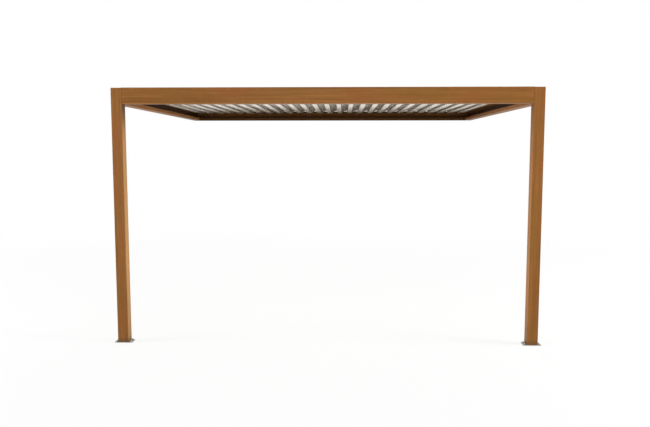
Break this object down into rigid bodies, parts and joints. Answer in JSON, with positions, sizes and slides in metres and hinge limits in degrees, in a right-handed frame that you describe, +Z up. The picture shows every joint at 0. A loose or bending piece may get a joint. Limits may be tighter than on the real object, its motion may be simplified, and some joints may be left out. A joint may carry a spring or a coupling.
{
  "type": "louvered pergola",
  "caption": "Wall-mounted aluminium pergola in a wood-effect finish: front posts, gutter beams, and a roof of tilting louvres joined by a link bar.",
  "frame": {"origin": "middle of the rear beam's back face, the face that lies against the wall", "axes": "+Y out of the back face towards the wall, +X to the right along the width, +Z up"},
  "size_m": [4.07, 3.5, 2.42],
  "materials": {
    "post": "satin wood-effect coating, grain upright",
    "post_cap": "satin wood-effect coating",
    "beam": "satin wood-effect coating, grain along the beam",
    "gutter": "satin wood-effect coating, grain along the gutter",
    "louvre": "satin off-white powder coat",
    "closing_profile": "satin wood-effect coating, grain along the profile",
    "bearing_rail": "mill finish",
    "bushing": "moulded nylon",
    "link_bar": "mill finish",
    "base_plate": "galvanised"
  },
  "bodies": {
    "frame": {"left_post": "post", "right_post": "post", "left_post_cap": "post_cap", "right_post_cap": "post_cap", "left_base_plate": "base_plate", "right_base_plate": "base_plate", "front_beam": "beam", "rear_beam": "beam", "left_beam": "beam", "right_beam": "beam", "front_gutter": "gutter", "rear_gutter": "gutter", "left_gutter": "gutter", "right_gutter": "gutter", "left_closing_profile": "closing_profile", "right_closing_profile": "closing_profile", "front_bearing_rail": "bearing_rail", "rear_bearing_rail": "bearing_rail", "front_bushings": "bushing", "rear_bushings": "bushing"},
    "louvre_01": {"louvre_01": "louvre"},
    "louvre_02": {"louvre_02": "louvre"},
    "louvre_03": {"louvre_03": "louvre"},
    "louvre_04": {"louvre_04": "louvre"},
    "louvre_05": {"louvre_05": "louvre"},
    "louvre_06": {"louvre_06": "louvre"},
    "louvre_07": {"louvre_07": "louvre"},
    "louvre_08": {"louvre_08": "louvre"},
    "louvre_09": {"louvre_09": "louvre"},
    "louvre_10": {"louvre_10": "louvre"},
    "louvre_11": {"louvre_11": "louvre"},
    "louvre_12": {"louvre_12": "louvre"},
    "louvre_13": {"louvre_13": "louvre"},
    "louvre_14": {"louvre_14": "louvre"},
    "louvre_15": {"louvre_15": "louvre"},
    "louvre_16": {"louvre_16": "louvre"},
    "louvre_17": {"louvre_17": "louvre"},
    "louvre_18": {"louvre_18": "louvre"},
    "louvre_19": {"louvre_19": "louvre"},
    "louvre_20": {"louvre_20": "louvre"},
    "louvre_21": {"louvre_21": "louvre"},
    "louvre_22": {"louvre_22": "louvre"},
    "louvre_23": {"louvre_23": "louvre"},
    "louvre_24": {"louvre_24": "louvre"},
    "louvre_25": {"louvre_25": "louvre"},
    "louvre_26": {"louvre_26": "louvre"},
    "louvre_27": {"louvre_27": "louvre"},
    "link_bar": {"link_bar": "link_bar"}
  },
  "joints": [
    {"name": "louvre_01_tilt", "type": "hinge", "parent": "frame", "child": "louvre_01", "pos_m": [-1.859, -1.75, 0.05], "axis": [0, -1, 0], "range_deg": [0, 90]},
    {"name": "louvre_02_tilt", "type": "hinge", "parent": "frame", "child": "louvre_02", "pos_m": [-1.716, -1.75, 0.05], "axis": [0, -1, 0], "range_deg": [0, 90]},
    {"name": "louvre_03_tilt", "type": "hinge", "parent": "frame", "child": "louvre_03", "pos_m": [-1.573, -1.75, 0.05], "axis": [0, -1, 0], "range_deg": [0, 90]},
    {"name": "louvre_04_tilt", "type": "hinge", "parent": "frame", "child": "louvre_04", "pos_m": [-1.43, -1.75, 0.05], "axis": [0, -1, 0], "range_deg": [0, 90]},
    {"name": "louvre_05_tilt", "type": "hinge", "parent": "frame", "child": "louvre_05", "pos_m": [-1.287, -1.75, 0.05], "axis": [0, -1, 0], "range_deg": [0, 90]},
    {"name": "louvre_06_tilt", "type": "hinge", "parent": "frame", "child": "louvre_06", "pos_m": [-1.144, -1.75, 0.05], "axis": [0, -1, 0], "range_deg": [0, 90]},
    {"name": "louvre_07_tilt", "type": "hinge", "parent": "frame", "child": "louvre_07", "pos_m": [-1.001, -1.75, 0.05], "axis": [0, -1, 0], "range_deg": [0, 90]},
    {"name": "louvre_08_tilt", "type": "hinge", "parent": "frame", "child": "louvre_08", "pos_m": [-0.858, -1.75, 0.05], "axis": [0, -1, 0], "range_deg": [0, 90]},
    {"name": "louvre_09_tilt", "type": "hinge", "parent": "frame", "child": "louvre_09", "pos_m": [-0.715, -1.75, 0.05], "axis": [0, -1, 0], "range_deg": [0, 90]},
    {"name": "louvre_10_tilt", "type": "hinge", "parent": "frame", "child": "louvre_10", "pos_m": [-0.572, -1.75, 0.05], "axis": [0, -1, 0], "range_deg": [0, 90]},
    {"name": "louvre_11_tilt", "type": "hinge", "parent": "frame", "child": "louvre_11", "pos_m": [-0.429, -1.75, 0.05], "axis": [0, -1, 0], "range_deg": [0, 90]},
    {"name": "louvre_12_tilt", "type": "hinge", "parent": "frame", "child": "louvre_12", "pos_m": [-0.286, -1.75, 0.05], "axis": [0, -1, 0], "range_deg": [0, 90]},
    {"name": "louvre_13_tilt", "type": "hinge", "parent": "frame", "child": "louvre_13", "pos_m": [-0.143, -1.75, 0.05], "axis": [0, -1, 0], "range_deg": [0, 90]},
    {"name": "louvre_14_tilt", "type": "hinge", "parent": "frame", "child": "louvre_14", "pos_m": [0, -1.75, 0.05], "axis": [0, -1, 0], "range_deg": [0, 90]},
    {"name": "louvre_15_tilt", "type": "hinge", "parent": "frame", "child": "louvre_15", "pos_m": [0.143, -1.75, 0.05], "axis": [0, -1, 0], "range_deg": [0, 90]},
    {"name": "louvre_16_tilt", "type": "hinge", "parent": "frame", "child": "louvre_16", "pos_m": [0.286, -1.75, 0.05], "axis": [0, -1, 0], "range_deg": [0, 90]},
    {"name": "louvre_17_tilt", "type": "hinge", "parent": "frame", "child": "louvre_17", "pos_m": [0.429, -1.75, 0.05], "axis": [0, -1, 0], "range_deg": [0, 90]},
    {"name": "louvre_18_tilt", "type": "hinge", "parent": "frame", "child": "louvre_18", "pos_m": [0.572, -1.75, 0.05], "axis": [0, -1, 0], "range_deg": [0, 90]},
    {"name": "louvre_19_tilt", "type": "hinge", "parent": "frame", "child": "louvre_19", "pos_m": [0.715, -1.75, 0.05], "axis": [0, -1, 0], "range_deg": [0, 90]},
    {"name": "louvre_20_tilt", "type": "hinge", "parent": "frame", "child": "louvre_20", "pos_m": [0.858, -1.75, 0.05], "axis": [0, -1, 0], "range_deg": [0, 90]},
    {"name": "louvre_21_tilt", "type": "hinge", "parent": "frame", "child": "louvre_21", "pos_m": [1.001, -1.75, 0.05], "axis": [0, -1, 0], "range_deg": [0, 90]},
    {"name": "louvre_22_tilt", "type": "hinge", "parent": "frame", "child": "louvre_22", "pos_m": [1.144, -1.75, 0.05], "axis": [0, -1, 0], "range_deg": [0, 90]},
    {"name": "louvre_23_tilt", "type": "hinge", "parent": "frame", "child": "louvre_23", "pos_m": [1.287, -1.75, 0.05], "axis": [0, -1, 0], "range_deg": [0, 90]},
    {"name": "louvre_24_tilt", "type": "hinge", "parent": "frame", "child": "louvre_24", "pos_m": [1.43, -1.75, 0.05], "axis": [0, -1, 0], "range_deg": [0, 90]},
    {"name": "louvre_25_tilt", "type": "hinge", "parent": "frame", "child": "louvre_25", "pos_m": [1.573, -1.75, 0.05], "axis": [0, -1, 0], "range_deg": [0, 90]},
    {"name": "louvre_26_tilt", "type": "hinge", "parent": "frame", "child": "louvre_26", "pos_m": [1.716, -1.75, 0.05], "axis": [0, -1, 0], "range_deg": [0, 90]},
    {"name": "louvre_27_tilt", "type": "hinge", "parent": "frame", "child": "louvre_27", "pos_m": [1.859, -1.75, 0.05], "axis": [0, -1, 0], "range_deg": [0, 90]},
    {"name": "link_bar_swing", "type": "hinge", "parent": "louvre_14", "child": "link_bar", "pos_m": [-0.02404, -3.4435, 0.02596], "axis": [0, -1, 0], "range_deg": [-90, 0]}
  ],
  "couplings": [
    {"joint": "louvre_01_tilt", "follows": "louvre_14_tilt", "ratio": 1},
    {"joint": "louvre_02_tilt", "follows": "louvre_14_tilt", "ratio": 1},
    {"joint": "louvre_03_tilt", "follows": "louvre_14_tilt", "ratio": 1},
    {"joint": "louvre_04_tilt", "follows": "louvre_14_tilt", "ratio": 1},
    {"joint": "louvre_05_tilt", "follows": "louvre_14_tilt", "ratio": 1},
    {"joint": "louvre_06_tilt", "follows": "louvre_14_tilt", "ratio": 1},
    {"joint": "louvre_07_tilt", "follows": "louvre_14_tilt", "ratio": 1},
    {"joint": "louvre_08_tilt", "follows": "louvre_14_tilt", "ratio": 1},
    {"joint": "louvre_09_tilt", "follows": "louvre_14_tilt", "ratio": 1},
    {"joint": "louvre_10_tilt", "follows": "louvre_14_tilt", "ratio": 1},
    {"joint": "louvre_11_tilt", "follows": "louvre_14_tilt", "ratio": 1},
    {"joint": "louvre_12_tilt", "follows": "louvre_14_tilt", "ratio": 1},
    {"joint": "louvre_13_tilt", "follows": "louvre_14_tilt", "ratio": 1},
    {"joint": "louvre_15_tilt", "follows": "louvre_14_tilt", "ratio": 1},
    {"joint": "louvre_16_tilt", "follows": "louvre_14_tilt", "ratio": 1},
    {"joint": "louvre_17_tilt", "follows": "louvre_14_tilt", "ratio": 1},
    {"joint": "louvre_18_tilt", "follows": "louvre_14_tilt", "ratio": 1},
    {"joint": "louvre_19_tilt", "follows": "louvre_14_tilt", "ratio": 1},
    {"joint": "louvre_20_tilt", "follows": "louvre_14_tilt", "ratio": 1},
    {"joint": "louvre_21_tilt", "follows": "louvre_14_tilt", "ratio": 1},
    {"joint": "louvre_22_tilt", "follows": "louvre_14_tilt", "ratio": 1},
    {"joint": "louvre_23_tilt", "follows": "louvre_14_tilt", "ratio": 1},
    {"joint": "louvre_24_tilt", "follows": "louvre_14_tilt", "ratio": 1},
    {"joint": "louvre_25_tilt", "follows": "louvre_14_tilt", "ratio": 1},
    {"joint": "louvre_26_tilt", "follows": "louvre_14_tilt", "ratio": 1},
    {"joint": "louvre_27_tilt", "follows": "louvre_14_tilt", "ratio": 1},
    {"joint": "link_bar_swing", "follows": "louvre_14_tilt", "ratio": -1}
  ]
}
